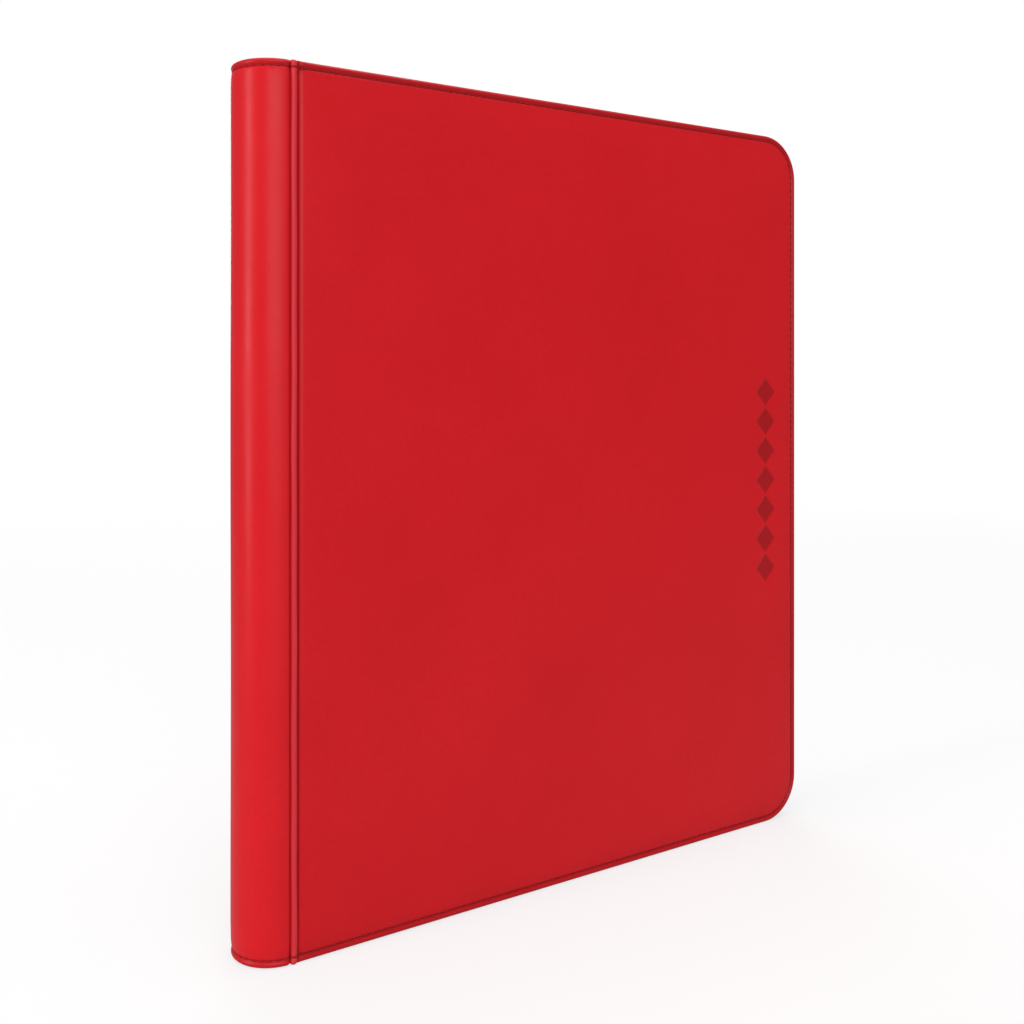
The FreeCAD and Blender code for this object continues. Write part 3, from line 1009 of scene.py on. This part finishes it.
def gusset(end, inward):
    """Soft fabric panel that closes one end of the spine; it dips into the spine."""
    node = f"spine_{end}_gusset"
    radius = 13.1
    tongue = 8.85
    turns = np.radians(np.linspace(90, 2, 20))
    half = [(-radius * math.sin(a), radius * math.cos(a)) for a in turns]
    half += [(1.0, 12.85), (2.0, 12.4), (3.0, 11.75), (4.0, 11.1), (5.2, 10.7), (6.6, 10.6), (8.0, 10.55)]
    half += [(8.8, 10.3), *((tongue, y) for y in (8.5, 6.4, 4.3, 2.1, 0.0))]
    outline = np.array(half + [(x, -y) for x, y in half[-2:0:-1]]) + (spine_x, 0)
    middle = np.array([spine_x - 2.0, 0.0])
    around = np.arctan2(outline[:, 1], outline[:, 0] - middle[0])
    foot_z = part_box(node)[0].z / MM + 0.5
    sections = []
    for size in (1.0, 0.985, 0.95, 0.88, 0.78, 0.66, 0.52, 0.38, 0.24, 0.1, 0.02):
        ripple = 0.16 * np.sin(5 * around + 0.7) * math.sin(math.pi * size)
        dip = (2.4 * (1 - size ** 2) ** 1.3 + ripple) * inward
        sections.append(at_height(middle + (outline - middle) * size, foot_z + dip))
    under = [ring + (0, 0, 0.45 * inward) for ring in sections]
    points, faces = loft(sections[::-1] + under)
    piece = make_piece(end + "_gusset_cloth", points, faces, ["lining"], attributes={"thread_mm": points})
    attach(piece, "spine", node)


# ---- zipper

def along_zipper(side, name, section, pitch, node):
    """A cloth strip of one section, (inset, y), all along one cover's zipper."""
    feet, outs = even_path(tape_start_x, pitch)
    sided(side, name, loft(along_path(feet, outs, section)), "tape", "zipper_tape", node,
          attributes={"thread_mm": path_threads(feet, outs, section)})


def zipper_binding(side):
    """Ribbon sewn over the edge where the tape meets the lining."""
    section = [(7.5, -11.02), (7.32, -10.9), (7.34, -10.68), (7.6, -10.56), (9.0, -10.52), (10.5, -10.5),
               (12.0, -10.52), (13.4, -10.58), (13.66, -10.7), (13.68, -10.92), (13.5, -11.04)]
    along_zipper(side, "binding_ribbon", section, 2.2, "zipper_binding")


def zipper_tape(side):
    """Woven tape from the cover's lining to the coil, bowed slightly outwards."""
    levels = np.array([-11.0, -10.3, -9.0, -7.5, -6.0, -4.6, -3.4, -2.2])
    insets = zipper_inset - 0.55 * np.sin(np.pi * (levels + 11.0) / 8.8)
    section = [*zip(insets - 0.26, levels), *zip(insets[::-1] + 0.26, levels[::-1])]
    along_zipper(side, "zipper_tape_cloth", section, 2.0, "zipper_tape")


def zipper_coil(side, start_x):
    """Half of the chain: a nylon coil on the tape's free edge, its loops between the other half's."""
    per_loop = 10
    feet, outs = even_path(coil_path_x, 0.8)
    line = at_inset(feet, outs, zipper_inset)
    run = run_along(line)
    begin = start_x - coil_path_x
    loops = int((run[-1] - begin - 1.2) / coil_pitch)
    turns = np.arange(loops * per_loop) / per_loop
    angle = 2 * math.pi * turns
    offset = 0.0 if side == "front" else coil_pitch / 2
    travel = begin + offset + coil_pitch * turns + 0.16 * np.sin(2 * angle)
    x, z, out_x, out_z = (np.interp(travel, run, column) for column in (*line.T, *outs.T))
    rise = 0.82 * np.cos(angle)
    path = np.column_stack([x + out_x * rise, -1.38 - 1.42 * np.sin(angle), z + out_z * rise])
    sided(side, "zipper_coil", loft(tube(path, 0.34, sides=6)), "coil", "zipper_coil", "zipper_chain")


def tape_stitches(side):
    """Two sewn lines along the binding ribbon."""
    outward = np.array([0.0, 1.0, 0.0])
    feet, outs = even_path(tape_start_x + 1.0, 0.6)
    parts = []
    for inset in (8.4, 12.7):
        for centre, along in stitch_places(on_plane(at_inset(feet, outs, inset), -10.5)):
            parts.append(stitch(centre, along, outward, length=2.4, radius=0.16))
    sided(side, "binding_stitches", merged(parts), "dark_thread", "zipper_tape")


def zipper_stop(end, z):
    """Crimped metal stop over the back tape's free edge."""
    outline = rounded_rectangle(-121.75, -119.75, 2.6, 4.55, 0.5)
    rib = rounded_rectangle(-121.2, -120.3, 2.5, 4.6, 0.3)
    parts = [loft(rounded_slab(outline, z - 1.3, z + 1.3, 0.45)),
             loft(rounded_slab(rib, z - 1.36, z + 1.36, 0.3))]
    metal_piece(end + "_stop_clip", parts, "back_cover", f"zipper_{end}_stop")


def slider_plan(shrink):
    """The slider's plan: a shield that narrows towards the closed chain."""
    half = [(-5.0, 2.9), (-4.5, 4.2), (-3.0, 4.75), (-0.5, 4.8), (2.0, 4.45), (3.9, 4.2),
            (4.8, 3.4), (5.0, 1.6)]
    outline = half + [(x, -y) for x, y in half[::-1]]
    return [(slider_x + x * shrink, y * shrink) for x, y in outline]


def make_slider():
    """Slider body: two shield-shaped plates with lips that close round the coil."""
    low = run_z - 2.5
    high = run_z + 2.5
    lip = [(-4.6, 3.6), (4.6, 3.55), (4.5, 4.1), (2.0, 4.42), (-0.5, 4.74), (-3.2, 4.7), (-4.3, 4.3)]
    parts = [loft(rounded_slab(slider_plan(1.0), run_z + 1.55, high, 0.42)),
             loft(rounded_slab(slider_plan(0.8), high - 0.2, high + 0.12, 0.1)),
             loft(rounded_slab(slider_plan(1.0), low, run_z - 1.55, 0.42))]
    for sign in (-1, 1):
        outline = [(slider_x + x, sign * y) for x, y in lip]
        parts.append(loft(rounded_slab(outline, run_z + 0.72, run_z + 1.7, 0.12)))
        parts.append(loft(rounded_slab(outline, run_z - 1.7, run_z - 0.72, 0.12)))
    metal_piece("slider_casting", parts, "slider", "slider_body")


def make_bail():
    """Arched bail on the slider's top plate."""
    half = [(-2.75, -0.2), (-2.78, 0.5), (-2.7, 1.1), (-2.4, 1.62), (-1.8, 1.98), (-0.9, 2.1), (0.0, 2.12)]
    arch = np.array(half + [(-x, z) for x, z in half[-2::-1]])
    ahead = np.gradient(arch, axis=0)
    ahead /= np.linalg.norm(ahead, axis=1, keepdims=True)
    rim = rounded_rectangle(-0.36, 0.36, -0.78, 0.78, 0.28, 3)
    plate = run_z + 2.5
    sections = [np.array([(slider_x + x - dz * a, b, plate + z + dx * a) for a, b in rim])
                for (x, z), (dx, dz) in zip(arch, ahead)]
    metal_piece("slider_bail_arch", [loft(sections)], "slider", "slider_bail")


def make_pull():
    """Pull: a round-wire link through the bail and a flat grip with a sunk panel."""
    pivot_z = run_z + 3.25
    link = rounded_rectangle(slider_x, slider_x + 6.0, -2.82, 2.82, 0.9, 4)
    ring = tube(at_height(link, pivot_z), 0.44, closed=True)
    grip = np.array(rounded_rectangle(slider_x + 5.2, slider_x + 32.0, -3.3, 3.3, 2.4, 7))
    middle = grip.mean(axis=0)
    panel = middle + (grip - middle) * (0.88, 0.62)
    sunk = middle + (grip - middle) * (0.88, 0.62) * 0.94
    over = [at_height(panel, pivot_z + 0.5), at_height(sunk, pivot_z + 0.26)]
    under = [at_height(sunk, pivot_z - 0.26), at_height(panel, pivot_z - 0.5)]
    parts = [loft(ring + ring[:1], caps=False),
             loft(under + rounded_slab(grip, pivot_z - 0.5, pivot_z + 0.5, 0.22) + over)]
    for step in range(6):
        x = slider_x + 11.0 + step * 2.6
        bar = rounded_rectangle(x, x + 1.1, -1.7, 1.7, 0.45, 4)
        parts.append(loft(rounded_slab(bar, pivot_z - 0.44, pivot_z + 0.44, 0.14)))
    metal_piece("pull_grip", parts, "pull", "pull_tab")


# ---- pages

def pocket_lines(axis):
    """Grid lines along one axis of a page: close together at the pockets' edges."""
    size = pocket_size[axis]
    near = [0.0, 0.4, 1.5, 4.0, 12.0, size * 0.35]
    far = [size * 0.65, size - 12, size - 4, size - 1.5, size]
    starts = [pocket_start[axis] + number * (size + pocket_gap[axis]) for number in range(3)]
    return [start + line for start in starts for line in near + far]


def pocket_height(x, z):
    """Swell of a page's film at a point, from 0 on a weld to 1 inside a pocket."""
    swell = np.ones_like(x)
    for axis, value in enumerate((x, z)):
        step = pocket_size[axis] + pocket_gap[axis]
        place = (value - pocket_start[axis]) % step
        inside = (place <= pocket_size[axis] + 0.01) & (value >= pocket_start[axis] - 0.01)
        inside &= value <= pocket_start[axis] + 3 * step - pocket_gap[axis] + 0.01
        rising = smooth(place / (0.45, 3.0)[axis])
        falling = smooth((pocket_size[axis] - place) / 3.0)
        swell = swell * np.where(inside, np.minimum(rising, falling), 0.0)
    return swell


def make_page(number, y):
    """One pocket page: black sheet with a film of nine pockets welded to each face."""
    (x0, x1), (z0, z1) = page_x, page_z
    xs = [x0, -121.25, -121.1, -120.95, -120.8, -120.65, -120.4, -118.0, *pocket_lines(0), x1]
    zs = [z0, z0 + 0.8, z0 + 2.4, *pocket_lines(1), z1 - 1.6, z1]
    across = (np.array(xs) - x0) / (x1 - x0)
    up = (np.array(zs) - z0) / (z1 - z0)
    grid_x, grid_z, _ = panel_lines(x0, x1, z0, z1, 5.0, across, up)
    phase = number * 1.7
    wobble = 0.04 * np.sin(grid_x / 33 + phase) * np.sin(grid_z / 41 + phase) * smooth((grid_x + 112) / 30)
    half = 0.16 + 0.13 * pocket_height(grid_x, grid_z)
    points, faces = sheet_between(grid_x, grid_z, y - half + wobble, y + half + wobble)
    middles = np.array([points[list(face)].mean(axis=0) for face in faces])
    film = pocket_height(middles[:, 0], middles[:, 2]) > 0.05
    piece = make_piece(f"pocket_page_{number:02d}", points, faces, ["page", "film"],
                       slots=film.astype(int).tolist())
    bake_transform(piece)
    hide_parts(f"page_{number:02d}")


def binding_block():
    """The pages' welded margins: a stack of twenty ridges."""
    front_x, groove_x, back_x = -121.45, -121.75, -133.0
    ridges = []
    for y in page_ys:
        ridges += [(groove_x, y - 0.5), (front_x, y - 0.3), (front_x, y + 0.3), (groove_x, y + 0.5)]
    section = np.array(ridges + [(front_x + back_x - x, y) for x, y in ridges[::-1]])
    middle = section.mean(axis=0)
    ends = [(page_z[0], 0.5), (page_z[0] + 0.15, 0.2), (page_z[0] + 0.6, 0.0)]
    levels = ends + [(z, 0.0) for z in spaced(40.0, 308.0, 40.0)]
    levels += [(height - z, inset) for z, inset in ends[::-1]]
    sections = [at_height(section - np.clip(section - middle, -1, 1) * inset, z) for z, inset in levels]
    piece = make_piece("page_margin_block", *loft(sections), ["page"])
    attach(piece, "spine", "page_binding_block")


# ---- stage, light and camera

def make_floor():
    """Round floor, large enough to reach the horizon."""
    turns = np.linspace(0, 2 * math.pi, 96, endpoint=False)
    circle = np.column_stack([np.cos(turns), np.sin(turns)])
    points, faces = loft([at_height(radius * circle, 0) for radius in (20, 400, 1600, 30000)], caps=False)
    faces.append(tuple(range(len(turns)))[::-1])
    floor = make_piece("studio_floor", points, faces, ["floor"])
    floor.data.shade_flat()


def area_light(name, place, size, power):
    """Rectangular soft light at a place, facing the middle of the object."""
    light = bpy.data.lights.new(name, "AREA")
    light.shape = "RECTANGLE"
    light.size, light.size_y = size
    light.energy = power
    lamp = bpy.data.objects.new(name, light)
    lamp.location = place
    lamp.rotation_euler = (Vector((0.0, 0.0, 0.17)) - lamp.location).to_track_quat("-Z", "Y").to_euler()
    bpy.context.scene.collection.objects.link(lamp)


def light_studio():
    """White background, dim surroundings and four large soft lights."""
    world = bpy.data.worlds.new("studio")
    world.use_nodes = True
    tree = world.node_tree
    background = tree.nodes["Background"]
    background.inputs["Color"].default_value = (1.0, 1.0, 1.0, 1.0)
    seen = add_node(tree, "LightPath").outputs["Is Camera Ray"]
    tree.links.new(scaled(tree, seen, 0.26, 1.0), background.inputs["Strength"])
    bpy.context.scene.world = world
    area_light("left_softbox", (-1.55, 0.05, 0.35), (0.20, 1.6), 13)
    area_light("front_fill", (-0.75, -1.9, 0.75), (1.4, 1.2), 19.5)
    area_light("top_fill", (0.1, -0.1, 2.0), (1.8, 1.8), 30)
    area_light("back_fill", (0.6, 1.8, 0.9), (1.4, 1.2), 10)


def make_camera():
    """Level camera in front of the spine side, at the photograph's angle."""
    data = bpy.data.cameras.new("camera")
    data.lens = 40.66
    data.sensor_width = 36.0
    data.shift_y = -0.1341
    camera = bpy.data.objects.new("camera", data)
    camera.location = (-0.3065, -0.4323, 0.2268)
    camera.rotation_euler = Vector((0.5554, 0.8316, 0.0)).to_track_quat("-Z", "Y").to_euler()
    bpy.context.scene.collection.objects.link(camera)
    bpy.context.scene.camera = camera


def finish_cad_nodes():
    """Materials for the CAD nodes that stay: boards and the spine's stiffener."""
    kept = {"front_cover_board": "board", "back_cover_board": "board", "spine_stiffener": "stiffener"}
    for node, look in kept.items():
        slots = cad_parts[node].data.materials
        slots.clear()
        slots.append(materials[look])


# ---- the whole binder

make_camera()
make_floor()
light_studio()
finish_cad_nodes()

spine_outline = spine_section()
spine_leather(spine_outline)
spine_stitches(spine_outline)
spine_lining_cloth()
binding_block()
gusset("top", inward=-1)
gusset("bottom", inward=1)

# The front coil starts further from the spine, clear of the parked slider
for side, coil_start in (("front", -106.4), ("back", -118.9)):
    make_cover_leather(side)
    cover_stitches(side)
    hinge_welt(side)
    hinge_fold(side)
    cover_foam(side)
    cover_lining(side)
    zipper_binding(side)
    tape_stitches(side)
    zipper_tape(side)
    zipper_coil(side, coil_start)

zipper_stop("top", run_z)
zipper_stop("bottom", zipper_inset)
make_slider()
make_bail()
make_pull()

for number, y in enumerate(page_ys, start=1):
    make_page(number, y)

bpy.context.scene.view_settings.view_transform = "Standard"
